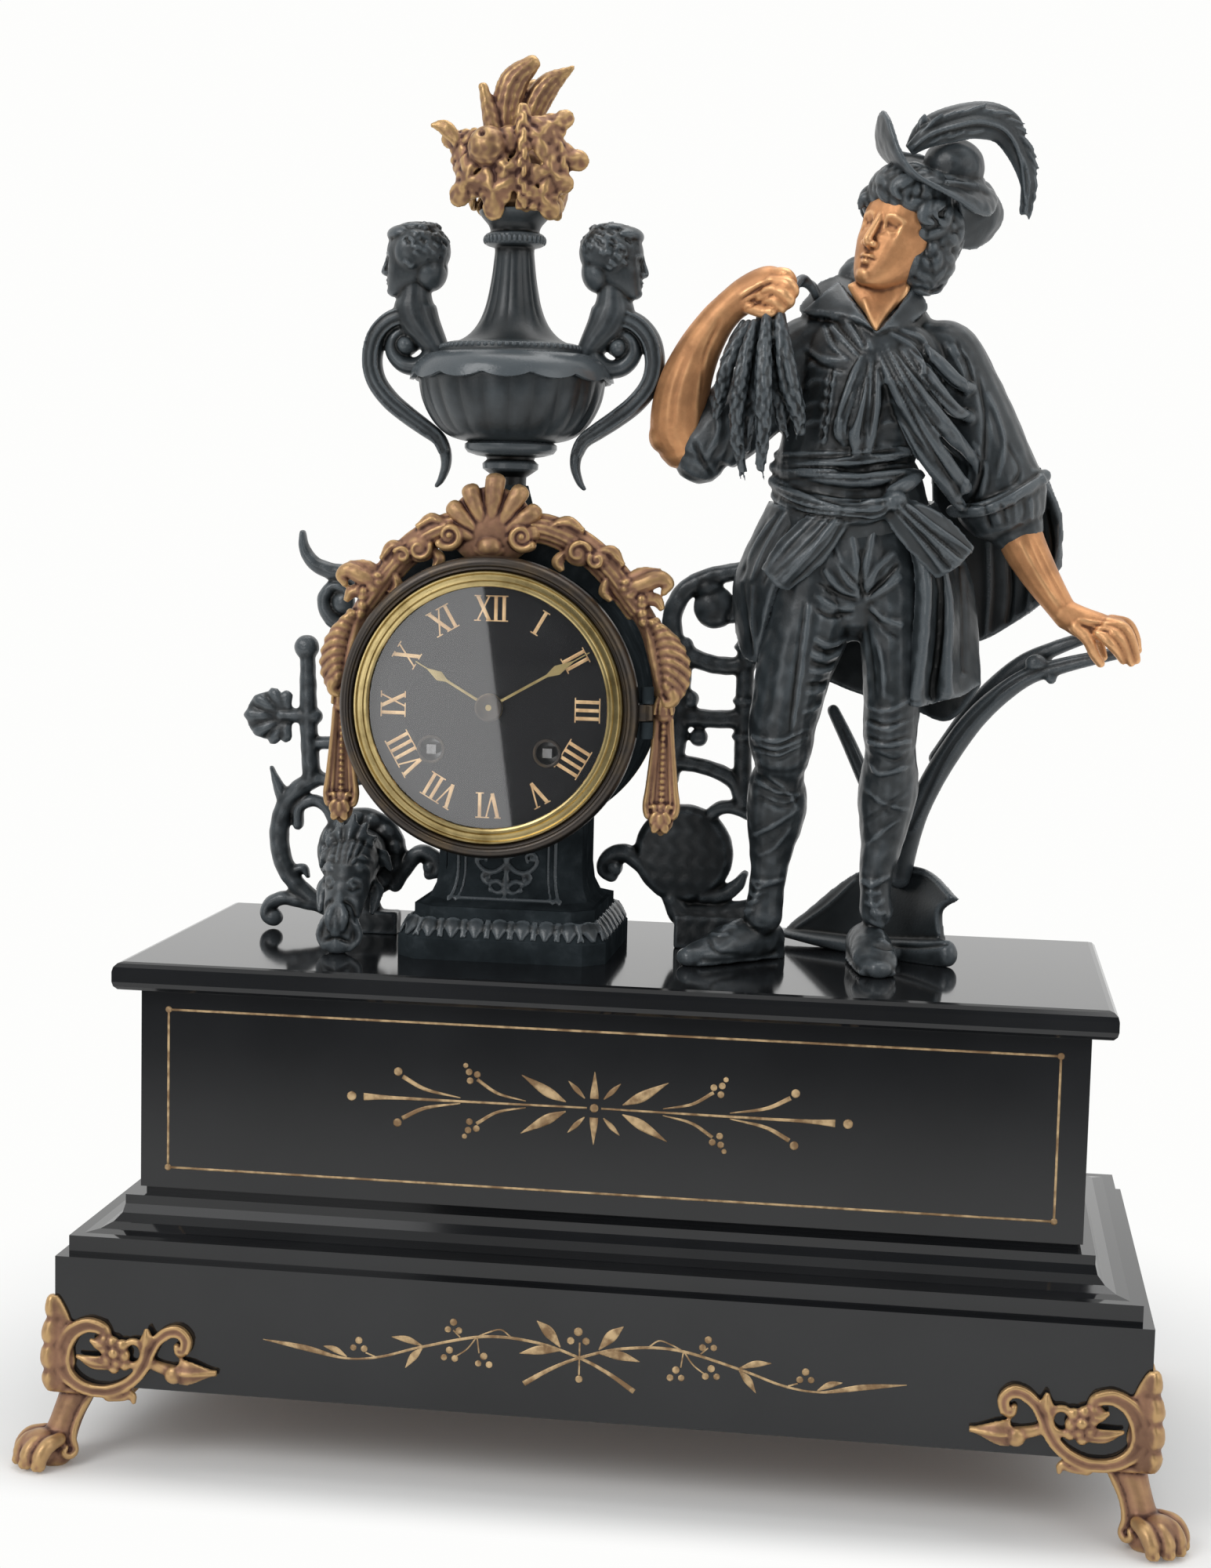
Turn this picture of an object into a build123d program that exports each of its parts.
from build123d import *
import math
import os

os.makedirs("parts", exist_ok=True)

# Bars between the balls of a limb, the least taper of a cone, and how far forward a tube may lean
LIMB_share = 0.95
THIN = 0.01
STEEP_share = 0.6

# Slate base
PLINTH_W = 456
PLINTH_D = 214
PLINTH_H = 55
BASE_LIFT = 35
SLATE_T = 14
BOARD_T = 10
MOULD_LOW_IN = 4.5
MOULD_LOW_H = 8
MOULD_LEDGE = 5
MOULD_TOP_IN = 23
MOULD_H = 22
MOULD_TOP_H = 4
BED_IN = 30
BED_H = 2.7
DADO_IN = 28
DADO_H = 86.5
SLAB_OVER = 10
SLAB_T = 12.3
SLAB_EDGE_R = 4

# Paw feet
FOOT_PLATE_T = 4
FOOT_RING_R = 15
FOOT_RING_BAND = 4.5
FOOT_RING_OUT = 37
FOOT_SPEAR_L = 40
FOOT_SPEAR_H = 15
FOOT_LEAF_H = 40
FOOT_LEAF_W = 13
FOOT_PAW_R = 10
FOOT_ANKLE_R = 7
FOOT_OUT = 6
FOOT_LUG = 34
FOOT_LUG_T = 4
FOOT_SCREW_R = 2
FOOT_SCREW_HEAD_R = 4
FOOT_SCREW_HEAD_T = 3
FOOT_SCREW_IN = 23
SCREW_CLEAR = 0.2

# Clock case
AXIS_X = -55
DIAL_RISE = 111.5
DRUM_R = 62
DRUM_WALL = 3
DRUM_FRONT_Y = -58
DRUM_BACK_Y = 34
SEAT_GAP = 0.3
PED_FRONT_Y = -45
PED_BACK_Y = 45
PED_HALF_W = 46
PED_SHIFT = 3
PED_CHAMFER = 9
PED_BASE_H = 9
PED_STEP_H = 9
PED_STEP_IN = 6
PED_LEDGE_H = 4.5
PED_LEDGE_IN = 2
PED_NECK_HALF_W = 32
PED_NECK_FRONT_IN = 19
PED_NECK_RISE = 38
PED_WALL = 5
PED_SLOT_HALF_W = 25
PED_SLOT_HALF_D = 12

# Urn, in shares of URN_UNIT above the top of the drum
URN_UNIT = 100
URN_Y = -20
SADDLE_T = 9
SADDLE_HALF_D = 18
SADDLE_HALF_ANGLE = 44
SADDLE_NECK_R = 8
SPIGOT_R = 3
SPIGOT_L = 12
SPIGOT_CLEAR = 0.05
URN_BOTTOM_shares = [
    (0.07, 0.32), (0.115, 0.355), (0.112, 0.405), (0.155, 0.425), (0.195, 0.45), (0.195, 0.47),
]
URN_BOWL_shares = [(0.205, 0.485), (0.315, 0.535), (0.376, 0.635), (0.400, 0.745)]
URN_SKIRT_shares = [(0.424, 0.765), (0.405, 0.805), (0.364, 0.850)]
URN_NECK_shares = [(0.306, 0.875), (0.20, 0.93), (0.135, 1.02), (0.104, 1.13), (0.081, 1.33)]
URN_LIP_shares = [(0.125, 1.345), (0.125, 1.395), (0.095, 1.41), (0.128, 1.48), (0.105, 1.48)]
URN_CUP_shares = (0.10, 1.44)
BOUQUET_shares = [
    (0.00, 0.00, 1.60, 0.17), (-0.18, 0.02, 1.64, 0.11), (0.19, 0.00, 1.66, 0.11),
    (-0.05, -0.10, 1.76, 0.10), (0.06, 0.04, 1.86, 0.10), (0.19, 0.03, 1.94, 0.09),
    (0.12, -0.04, 1.56, 0.13), (-0.12, -0.04, 1.52, 0.11), (0.13, 0.05, 2.03, 0.08),
]
CARROT_shares = (-0.10, -0.05, 1.78, 2.02, 0.035, 0.006)
HANDLE_shares = [
    (0.43, 0.885), (0.435, 0.95), (0.48, 0.94), (0.505, 0.89), (0.48, 0.83), (0.42, 0.81), (0.36, 0.845),
    (0.34, 0.92),
]
HANDLE_ARM_shares = [
    (0.34, 0.92), (0.38, 0.99), (0.46, 1.026), (0.54, 1.006), (0.60, 0.94), (0.62, 0.85), (0.60, 0.76),
    (0.54, 0.68), (0.46, 0.615), (0.38, 0.56), (0.32, 0.516), (0.29, 0.46), (0.285, 0.40), (0.305, 0.34),
    (0.325, 0.312),
]
HANDLE_ARM_R_shares = [
    0.036, 0.04, 0.042, 0.042, 0.042, 0.042, 0.04, 0.04, 0.037, 0.034, 0.03, 0.025, 0.02, 0.016, 0.011,
]
BUST_shares = [(0.30, 0.90, 0.035), (0.365, 0.99, 0.062), (0.41, 1.08, 0.072), (0.42, 1.14, 0.06)]
BUST_HEAD_shares = (0.44, 1.255, 0.135)

# Gilt crest and swags, in shares of CREST_UNIT from the dial centre
CREST_UNIT = 100
CREST_Y = -50
CREST_T = 10
SHELL_shares = [
    (0.10, 0.66), (0.16, 0.70), (0.19, 0.76), (0.235, 0.83), (0.17, 0.845), (0.145, 0.90),
    (0.08, 0.885), (0.04, 0.955), (0.00, 0.96),
]
SWAG_shares = [
    (0.17, 0.72), (0.33, 0.71), (0.47, 0.64), (0.58, 0.53), (0.66, 0.42), (0.71, 0.31),
    (0.755, 0.20), (0.755, 0.10), (0.72, 0.02),
]
SWAG_R_shares = [0.055, 0.075, 0.085, 0.075, 0.06, 0.055, 0.075, 0.07, 0.045]
SWAG_SPUR_shares = [(0.62, 0.48), (0.70, 0.49), (0.76, 0.53)]
SWAG_SPUR_R_shares = [0.05, 0.04, 0.035]
PENDANT_shares = [(0.705, -0.03), (0.70, -0.12), (0.70, -0.36), (0.70, -0.43), (0.70, -0.50)]
PENDANT_R_shares = [0.035, 0.045, 0.07, 0.05, 0.025]
SWAG_LUG_shares = (0.08, 0.04)

# Pierced side brackets, in shares of BRACKET_UNIT out from the axis and up from the slab
BRACKET_UNIT = 100
BRACKET_Y = 18
BRACKET_T = 8
BRACKET_DISC_shares = (0.745, 0.345, 0.205)
BRACKET_VOLUTE_shares = (0.89, 1.555, 0.095)
BRACKET_BALL_shares = (0.985, 1.30, 0.055)
BRACKET_LEAF_shares = (1.16, 0.985, 0.12)
BRACKET_FOOT_shares = ((0.80, 0.12), (0.80, 0.0), 0.12)
BRACKET_BARS_shares = [
    BRACKET_FOOT_shares, ((0.985, 1.30), (0.985, 0.66), 0.075), ((0.985, 0.99), (1.10, 0.985), 0.045),
    ((0.68, 1.50), (0.50, 1.45), 0.07), ((0.985, 0.99), (0.58, 0.99), 0.06),
    ((1.03, 1.80), (1.02, 1.72), 0.035), ((1.02, 1.72), (0.95, 1.65), 0.05),
    ((0.95, 1.65), (0.90, 1.58), 0.06), ((0.95, 1.65), (0.84, 1.67), 0.05),
    ((0.84, 1.67), (0.73, 1.61), 0.05), ((0.73, 1.61), (0.68, 1.50), 0.05),
    ((0.68, 1.50), (0.73, 1.37), 0.05), ((0.73, 1.37), (0.85, 1.285), 0.05),
    ((0.85, 1.285), (0.985, 1.275), 0.05),
    ((0.985, 0.68), (1.11, 0.75), 0.04), ((0.985, 0.70), (0.62, 0.66), 0.06),
    ((0.985, 0.66), (1.11, 0.52), 0.085), ((1.11, 0.52), (1.11, 0.36), 0.085),
    ((1.11, 0.36), (1.02, 0.17), 0.085), ((1.02, 0.17), (0.80, 0.10), 0.10),
    ((1.02, 0.17), (1.14, 0.15), 0.06), ((1.14, 0.15), (1.15, 0.0), 0.05),
    ((0.57, 0.34), (0.30, 0.36), 0.06),
]
DOLPHIN_shares = [
    (0.70, 0.34, 0.06, 0.11), (0.70, 0.28, -0.14, 0.135), (0.70, 0.20, -0.30, 0.13),
    (0.70, 0.10, -0.42, 0.10),
]

# Bronze figure with plough, in shares of FIG_UNIT from a point on the slab
FIG_UNIT = 100
FIG_X = 100
FIG_Y = -8
R_LEG_shares = [
    (-0.46, 0.0, 0.15, 0.075), (-0.385, 0.02, 0.60, 0.125), (-0.365, -0.05, 1.0, 0.14),
    (-0.26, -0.03, 1.45, 0.185), (-0.20, 0.0, 1.75, 0.20),
]
L_LEG_shares = [
    (0.06, 0.0, 0.15, 0.075), (0.125, 0.02, 0.62, 0.125), (0.115, -0.04, 1.05, 0.13),
    (0.14, -0.02, 1.45, 0.165), (0.15, 0.0, 1.75, 0.20),
]
R_BOOT_shares = [
    (-0.415, 0.06, 0.10, 0.085), (-0.50, -0.04, 0.085, 0.085), (-0.60, -0.13, 0.065, 0.075),
    (-0.70, -0.22, 0.045, 0.045),
]
L_BOOT_shares = [
    (0.06, 0.10, 0.10, 0.085), (0.085, -0.05, 0.085, 0.085), (0.11, -0.18, 0.065, 0.09),
    (0.12, -0.30, 0.045, 0.05),
]
TORSO_shares = [
    (-0.04, 0.0, 1.62, 0.40, 0.21), (-0.08, 0.0, 1.92, 0.34, 0.20), (-0.11, 0.0, 2.13, 0.31, 0.19),
    (-0.06, 0.0, 2.45, 0.335, 0.215), (0.02, 0.01, 2.68, 0.365, 0.185), (0.02, 0.01, 2.84, 0.15, 0.13),
]
COAT_shares = [
    (0.25, 0.06, 1.08, 0.25, 0.10), (0.24, 0.05, 1.40, 0.22, 0.14), (0.20, 0.03, 1.80, 0.20, 0.15),
]
COAT_R_shares = [
    (-0.44, 0.06, 1.18, 0.07, 0.08), (-0.40, 0.05, 1.50, 0.12, 0.12),
    (-0.30, 0.03, 1.85, 0.12, 0.12),
]
COAT_BACK_shares = [
    (-0.04, 0.36, 1.20, 0.40, 0.045), (-0.04, 0.33, 1.62, 0.38, 0.05), (-0.07, 0.14, 2.00, 0.30, 0.10),
]
R_SLEEVE_shares = [
    (-0.28, 0.01, 2.66, 0.13), (-0.46, -0.03, 2.50, 0.17), (-0.68, -0.07, 2.30, 0.15),
    (-0.78, -0.08, 2.24, 0.10),
]
L_SLEEVE_shares = [
    (0.34, 0.01, 2.62, 0.13), (0.52, 0.04, 2.35, 0.145), (0.64, 0.08, 2.05, 0.13),
    (0.68, 0.10, 1.96, 0.10),
]
R_FOREARM_shares = [
    (-0.72, -0.08, 2.25, 0.075), (-0.86, -0.10, 2.275, 0.08), (-0.81, -0.12, 2.42, 0.08),
    (-0.70, -0.16, 2.68, 0.06), (-0.60, -0.18, 2.84, 0.05),
]
R_HAND_shares = [(-0.60, -0.18, 2.83, 0.05), (-0.50, -0.19, 2.95, 0.075), (-0.40, -0.19, 2.97, 0.07)]
L_FOREARM_shares = [(0.655, 0.09, 1.99, 0.08), (0.73, 0.12, 1.82, 0.078), (0.86, 0.15, 1.56, 0.055)]
L_HAND_shares = [(0.86, 0.15, 1.57, 0.055), (0.97, 0.16, 1.50, 0.075), (1.09, 0.16, 1.45, 0.065)]
NECK_shares = [(0.02, 0.0, 2.80, 0.12), (0.04, -0.01, 3.05, 0.12)]
HEAD_shares = [(0.03, -0.05, 3.07, 0.13), (0.08, -0.02, 3.20, 0.185), (0.12, 0.0, 3.30, 0.20)]
HAIR_shares = [(0.20, 0.05, 3.08, 0.12), (-0.07, 0.0, 3.22, 0.08)]
HAT_shares = (0.215, 0.03, 3.40, 0.30, 0.26, 0.05)
HAT_CROWN_shares = (0.29, 0.05, 3.46, 0.14)
HAT_TILT = 33
PLUME_shares = [
    (0.17, -0.02, 3.60, 0.05), (0.28, 0.0, 3.65, 0.075), (0.46, 0.03, 3.63, 0.085),
    (0.57, 0.04, 3.50, 0.08), (0.61, 0.04, 3.26, 0.04),
]
CAPE_shares = [
    (0.45, 0.20, 1.44, 0.13, 0.05), (0.60, 0.20, 1.75, 0.20, 0.08), (0.57, 0.17, 2.10, 0.21, 0.09),
    (0.44, 0.13, 2.50, 0.16, 0.10), (0.30, 0.08, 2.70, 0.08, 0.08),
]
WHEAT_shares = [
    (-0.40, -0.30, 2.12, 0.13), (-0.42, -0.30, 2.40, 0.15), (-0.42, -0.28, 2.75, 0.10),
    (-0.38, -0.26, 2.96, 0.06),
]
WHEAT_BACK_shares = [(-0.38, -0.26, 2.93, 0.055), (-0.30, -0.12, 2.98, 0.05), (-0.20, 0.06, 2.90, 0.05)]
PLOUGH_HEEL_shares = (0.43, 0.10)
PLOUGH_TURN = 147
PLOUGH_T_share = 0.10
PLOUGH_BODY_shares = [
    (0.0, 0.0), (0.90, 0.0), (0.94, 0.08), (0.50, 0.40), (0.16, 0.42), (-0.04, 0.32), (0.06, 0.22),
    (0.0, 0.13),
]
PLOUGH_HANDLE_shares = [
    (0.30, 0.22, 0.40, 0.05), (0.22, 0.24, 0.54, 0.05), (0.40, 0.28, 0.86, 0.05),
    (0.74, 0.30, 1.24, 0.045), (1.13, 0.22, 1.37, 0.04),
]
PLOUGH_BEAM_shares = [(0.14, 0.33, 0.30, 0.045), (0.0, 0.35, 0.80, 0.04), (-0.14, 0.36, 1.10, 0.04)]

# Fixing studs and nuts under the slab
STUD_R = 3
STUD_GRIP = 6
STUD_CLEAR = 0.3
NUT_R = 6
NUT_T = 5
STUD_TAIL = 3

# Dial, bezel and hands
BEZEL_R = 64
BEZEL_T = 7.7
BEZEL_MID_R = 58
BEZEL_BEAD = 1.2
SIGHT_R = 51
SIGHT_T = 5
GLASS_R = 56
GLASS_T = 1.6
GLASS_SEAT_share = 0.4
DIAL_R = 58
DIAL_T = 2
DIAL_BACK_IN = 2.5
LEDGE_R = 54
LEDGE_T = 2
HINGE_R = 2.6
HINGE_PIN_R = 1.2
HINGE_OUT = 5.2
KNUCKLE_H = 7
RUN_CLEAR = 0.08
KNUCKLE_GAP = 0.4
ARBOR_X = 25
ARBOR_DROP = 18.67
DIAL_HOLE_R = 4.8
DIAL_RING_R = 6.2
DIAL_RING_T = 0.5
DIAL_CENTRE_R = 4
HOUR_L = 37
MINUTE_L = 49
HAND_W = 1.1
HAND_LEAF_W = 4.2
HAND_TIP_W = 0.5
HAND_T = 0.6
HAND_GAP = 0.8
HOUR_HUB_R = 5.9
MINUTE_HUB_R = 4.5
HOUR_ANGLE = -60
MINUTE_ANGLE = 60

# Movement
PLATE_R = 57
PLATE_T = 2
PLATE_GAP = 10
BACK_PLATE_R = 51
PLATES_APART = 28
PILLAR_R = 2.5
PILLAR_OUT = 45
PILLAR_ANGLES = [35, 145, 270]
PRESSURE = 25
ADD_share = 0.75
DED_share = 1.0
BACKLASH = 0.14
ARBOR_R = 1.2
BARREL_M = 0.8
BARREL_TEETH = 64
PINION_TEETH = 14
BARREL_R = 22
BARREL_L = 16
WHEEL_T = 2
WHEEL_CLEAR = 0.5
CENTRE_M = 0.55
CENTRE_TEETH = 60
THIRD_PINION_TEETH = 10
THIRD_ANGLE = 70
THIRD_M = 0.5
THIRD_TEETH = 54
ESCAPE_PINION_TEETH = 10
ESCAPE_ANGLE = 80
ESCAPE_R = 9
ESCAPE_TEETH = 30
ANCHOR_RISE = 45
ANCHOR_W = 2.4
ANCHOR_REACH = 8
CRUTCH_L = 17
CRUTCH_R = 0.8
PENDULUM_L = 116
BOB_R = 13
BOB_T = 8
ROD_W = 3
ROD_T = 1.6
PENDULUM_Y_GAP = 4
WIND_R = 2.4
WIND_SQUARE = 4
RATCHET_R = 9
RATCHET_TEETH = 24
RATCHET_T = 1.4
CANNON_TEETH = 14
MINUTE_WHEEL_TEETH = 42
CANNON_M = 0.6
HOUR_PINION_TEETH = 12
HOUR_WHEEL_TEETH = 48
HOUR_M = 0.56
CANNON_PIPE_R = 1.9
HOUR_PIPE_R = 3.2
MINUTE_STUD_R = 1
PIN_WHEEL_R = 12
MOTION_T = 1.5
CRUTCH_SLOT_HALF = 2.4
ANCHOR_SPREAD = 65
HAND_LEAF_shares = [0.58, 0.68, 0.84]
PIN_WHEEL_ANGLE = 95
BELL_R = 25
BELL_H = 11
BELL_WALL = 1.6
BELL_X = -24
BELL_DROP = 12
BELL_GAP = 17
BELL_POST_R = 2
HAMMER_X = -14
HAMMER_RISE = 36
HAMMER_HEAD_R = 4
HAMMER_HEAD_X = -31
HAMMER_HEAD_RISE = 20
HAMMER_T = 3
DOOR_T = 2
DOOR_GAP = 0.4
DOOR_KNOB_R = 3

# Heights and places that follow from the sizes above
Z_PLINTH = BASE_LIFT
Z_MOULD = Z_PLINTH + PLINTH_H
Z_BED = Z_MOULD + MOULD_H
Z_DADO = Z_BED + BED_H
Z_SLAB = Z_DADO + DADO_H
Z_TOP = Z_SLAB + SLAB_T
DIAL_Z = Z_TOP + DIAL_RISE
DRUM_IN_R = DRUM_R - DRUM_WALL
DIAL_BACK_Y = DRUM_FRONT_Y + DIAL_BACK_IN
DIAL_Y = DIAL_BACK_Y - DIAL_T
PLATE_Y = DIAL_BACK_Y + PLATE_GAP
PLATE_BACK_Y = PLATE_Y + PLATE_T
BACK_Y = PLATE_BACK_Y + PLATES_APART
BACK_END_Y = BACK_Y + PLATE_T
PENDULUM_Y = BACK_END_Y + PENDULUM_Y_GAP
BEZEL_BACK_Y = DRUM_FRONT_Y - SEAT_GAP
BEZEL_Y = BEZEL_BACK_Y - BEZEL_T


def save(shape, name):
    """Write one node."""
    export_step(shape, os.path.join("parts", name + ".step"))


def box(x0, x1, y0, y1, z0, z1):
    """A box between two corners."""
    middle = Pos((x0 + x1) / 2, (y0 + y1) / 2, (z0 + z1) / 2)
    return middle * Box(x1 - x0, y1 - y0, z1 - z0)


def rod_z(x, y, r, z0, z1):
    """An upright round bar."""
    return Pos(x, y, (z0 + z1) / 2) * Cylinder(r, z1 - z0)


def rod_y(x, z, r, y0, y1):
    """A round bar from front to back, placed from the dial centre."""
    turn = Pos(AXIS_X + x, (y0 + y1) / 2, DIAL_Z + z) * Rot(90, 0, 0)
    return turn * Cylinder(r, y1 - y0)


def lathe_z(points, x, y):
    """Turn a closed outline of radius and height about an upright axis."""
    outline = Polyline(*[(r, 0, h) for r, h in points], close=True)
    return Pos(x, y, 0) * revolve(make_face(outline), Axis.Z)


def lathe_y(points, x=0, z=0):
    """Turn a closed outline of radius and depth about a front to back axis."""
    outline = Polyline(*[(r, 0, h) for r, h in points], close=True)
    return Pos(AXIS_X + x, 0, DIAL_Z + z) * Rot(-90, 0, 0) * revolve(make_face(outline), Axis.Z)


def flat_y(points, y0, y1, x=0, z=0, turn=0):
    """Extrude an outline seen from the front, placed from the dial centre."""
    face = make_face(Polyline(*[(px, pz) for px, pz in points], close=True))
    plate = extrude(face, y1 - y0)
    return Pos(AXIS_X + x, y1, DIAL_Z + z) * Rot(0, turn, 0) * Rot(90, 0, 0) * plate


def mitred(half_outline, half_w, half_d):
    """A moulding with mitred corners: outline of inset and height."""
    ends = []
    for half, turn, long in ((half_d, 90, half_w), (half_w, 0, half_d)):
        right = [(half - inset, h) for inset, h in half_outline]
        left = [(inset - half, h) for inset, h in reversed(half_outline)]
        face = make_face(Polyline(*(right + left), close=True))
        bar = Rot(90, 0, 0) * extrude(face, long, both=True)
        ends.append(Rot(0, 0, turn) * bar)
    return ends[0] & ends[1]


def tube(nodes):
    """Loft round or oval sections through centres with one or two half widths."""
    sections = []
    last = len(nodes) - 1
    for i, node in enumerate(nodes):
        before = Vector(*nodes[max(i - 1, 0)][:3])
        after = Vector(*nodes[min(i + 1, last)][:3])
        along = (after - before).normalized()
        side = Vector(0, 1, 0)
        if abs(along.Y) > STEEP_share:
            side = Vector(0, 0, 1)
        x_dir = side - along * side.dot(along)
        plane = Plane(origin=node[:3], x_dir=x_dir, z_dir=along)
        wide = node[3]
        deep = node[-1]
        sections.append(plane * (Circle(wide) if deep == wide else Ellipse(deep, wide)))
    return loft(sections)


def limb(nodes):
    """Balls at the centres, with tapered bars a little thinner than the balls between them."""
    body = Pos(*nodes[0][:3]) * Sphere(nodes[0][3])
    for a, b in zip(nodes, nodes[1:]):
        start = Vector(*a[:3])
        along = Vector(*b[:3]) - start
        place = Plane(start, z_dir=along)
        if abs(a[3] - b[3]) < THIN:
            bar = Solid.make_cylinder(LIMB_share * a[3], along.length, place)
        else:
            bar = Solid.make_cone(LIMB_share * a[3], LIMB_share * b[3], along.length, place)
        body += [bar, Pos(*b[:3]) * Sphere(b[3])]
    return body


def fig(shares):
    """Shares of the figure turned into places and half widths."""
    place = (FIG_X, FIG_Y, Z_TOP)
    out = []
    for s in shares:
        spot = [p + v * FIG_UNIT for p, v in zip(place, s[:3])]
        out.append(tuple(spot + [v * FIG_UNIT for v in s[3:]]))
    return out


def involute(angle):
    """The involute function of an angle."""
    return math.tan(angle) - angle


def gear_outline(teeth, module, phase):
    """Outline of a spur gear, with points on the involute and a tooth at the phase angle."""
    pressure = math.radians(PRESSURE)
    pitch_r = teeth * module / 2
    base_r = pitch_r * math.cos(pressure)
    tip_r = pitch_r + ADD_share * module
    root_r = pitch_r - DED_share * module
    half = math.pi / (2 * teeth) - BACKLASH / (4 * pitch_r)
    points = []
    for k in range(teeth):
        mid = math.radians(phase) + 2 * math.pi * k / teeth
        flank = []
        for r in (root_r, max(base_r, root_r), pitch_r, tip_r):
            shown = max(r, base_r)
            slope = math.acos(min(1, base_r / shown))
            flank.append((r, half + involute(pressure) - involute(slope)))
        if base_r <= root_r:
            flank = flank[1:]
        ring = [(r, mid - a) for r, a in flank] + [(r, mid + a) for r, a in reversed(flank)]
        points += [(r * math.cos(a), r * math.sin(a)) for r, a in ring]
    return points


def gear(teeth, module, y0, y1, x=0, z=0, phase=0):
    """A spur gear between two depths."""
    return flat_y(gear_outline(teeth, module, phase), y0, y1, x, z)


def meshed(teeth_a, phase_a, teeth_b, way):
    """Phase of gear b that puts a gap where gear a, lying the other way, has a tooth."""
    pitch_a = 360 / teeth_a
    pitch_b = 360 / teeth_b
    return way + 180 - pitch_b * ((phase_a - way) / pitch_a + 1 / 2)


# Plinth and dado of slate slabs
px = PLINTH_W / 2
py = PLINTH_D / 2
plinth_sides = box(-px, px, -py, SLATE_T - py, Z_PLINTH, Z_MOULD)
save(plinth_sides + box(-px, px, py - SLATE_T, py, Z_PLINTH, Z_MOULD), "plinth_sides")
plinth_ends = Part()
for side in (-1, 1):
    inner = side * (px - SLATE_T)
    lo, hi = sorted((inner, side * px))
    plinth_ends += box(lo, hi, SLATE_T - py, py - SLATE_T, Z_PLINTH, Z_MOULD)
save(plinth_ends, "plinth_ends")

screw_spots = []
for sx in (-1, 1):
    for sy in (-1, 1):
        screw_spots.append((sx * (px - FOOT_SCREW_IN), sy * (py - FOOT_SCREW_IN)))
board = box(SLATE_T - px, px - SLATE_T, SLATE_T - py, py - SLATE_T, Z_PLINTH, Z_PLINTH + BOARD_T)
for x, y in screw_spots:
    board -= rod_z(x, y, FOOT_SCREW_R + SCREW_CLEAR, Z_PLINTH, Z_PLINTH + BOARD_T)
save(board, "base_board")

cove_r = MOULD_H - MOULD_LOW_H - MOULD_TOP_H
cove_in = MOULD_TOP_IN - MOULD_LOW_IN - MOULD_LEDGE
cove = []
for turn in (0, 22.5, 45, 67.5, 90):
    a = math.radians(turn)
    inset = MOULD_TOP_IN - cove_in * (1 - math.sin(a))
    cove.append((inset, Z_MOULD + MOULD_LOW_H + cove_r * (1 - math.cos(a))))
mould_outline = [(MOULD_LOW_IN, Z_MOULD), (MOULD_LOW_IN, Z_MOULD + MOULD_LOW_H)] + cove
mould_outline += [(MOULD_TOP_IN, Z_BED), (BED_IN, Z_BED), (BED_IN, Z_DADO)]
moulding = mitred(mould_outline, px, py)
well_x = px - DADO_IN - SLATE_T
well_y = py - DADO_IN - SLATE_T
moulding -= box(-well_x, well_x, -well_y, well_y, Z_MOULD, Z_DADO)
save(moulding, "plinth_moulding")

dx = px - DADO_IN
dy = py - DADO_IN
dado_sides = box(-dx, dx, -dy, SLATE_T - dy, Z_DADO, Z_SLAB)
save(dado_sides + box(-dx, dx, dy - SLATE_T, dy, Z_DADO, Z_SLAB), "dado_sides")
dado_ends = Part()
for side in (-1, 1):
    inner = side * (dx - SLATE_T)
    lo, hi = sorted((inner, side * dx))
    dado_ends += box(lo, hi, SLATE_T - dy, dy - SLATE_T, Z_DADO, Z_SLAB)
save(dado_ends, "dado_ends")

# Studs hold the castings to the slab
ped_y = (PED_FRONT_Y + PED_BACK_Y) / 2
stud_spots = []
for side in (-1, 1):
    stud_spots.append((AXIS_X + side * (PED_HALF_W + PED_SLOT_HALF_W) / 2, ped_y, Z_TOP))
    stud_spots.append((AXIS_X + side * BRACKET_FOOT_shares[0][0] * BRACKET_UNIT, BRACKET_Y, Z_TOP))
for boot in (R_BOOT_shares, L_BOOT_shares):
    stud_spots.append((FIG_X + boot[1][0] * FIG_UNIT, FIG_Y + boot[1][1] * FIG_UNIT, Z_TOP))
plough_way = math.radians(PLOUGH_TURN)
plough_in = PLOUGH_BODY_shares[4][0] * FIG_UNIT
plough_x = FIG_X + PLOUGH_HEEL_shares[0] * FIG_UNIT
plough_y = FIG_Y + PLOUGH_HEEL_shares[1] * FIG_UNIT
plough_stud_x = plough_x + plough_in * math.cos(plough_way)
plough_stud_y = plough_y + plough_in * math.sin(plough_way)
stud_spots.append((plough_stud_x, plough_stud_y, Z_TOP))

arc = []
for turn in (0, 30, 60, 90):
    a = math.radians(turn)
    arc.append((SLAB_EDGE_R * (1 - math.sin(a)), Z_SLAB + SLAB_EDGE_R * (1 - math.cos(a))))
slab_outline = arc + [(r, Z_SLAB + Z_TOP - h) for r, h in reversed(arc)]
slab = mitred(slab_outline, dx + SLAB_OVER, dy + SLAB_OVER)
studs = Part()
nuts = Part()
for x, y, z in stud_spots:
    slab -= rod_z(x, y, STUD_R + STUD_CLEAR, Z_SLAB, Z_TOP)
    studs += rod_z(x, y, STUD_R, Z_SLAB - NUT_T - STUD_TAIL, z + STUD_GRIP)
    nut = extrude(RegularPolygon(NUT_R, 6), NUT_T)
    nuts += Pos(x, y, Z_SLAB - NUT_T) * nut - rod_z(x, y, STUD_R + SPIGOT_CLEAR, Z_SLAB - NUT_T, Z_SLAB)
save(slab, "top_slab")
save(studs + nuts, "slab_fixings")
stud_holes = Part()
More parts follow.
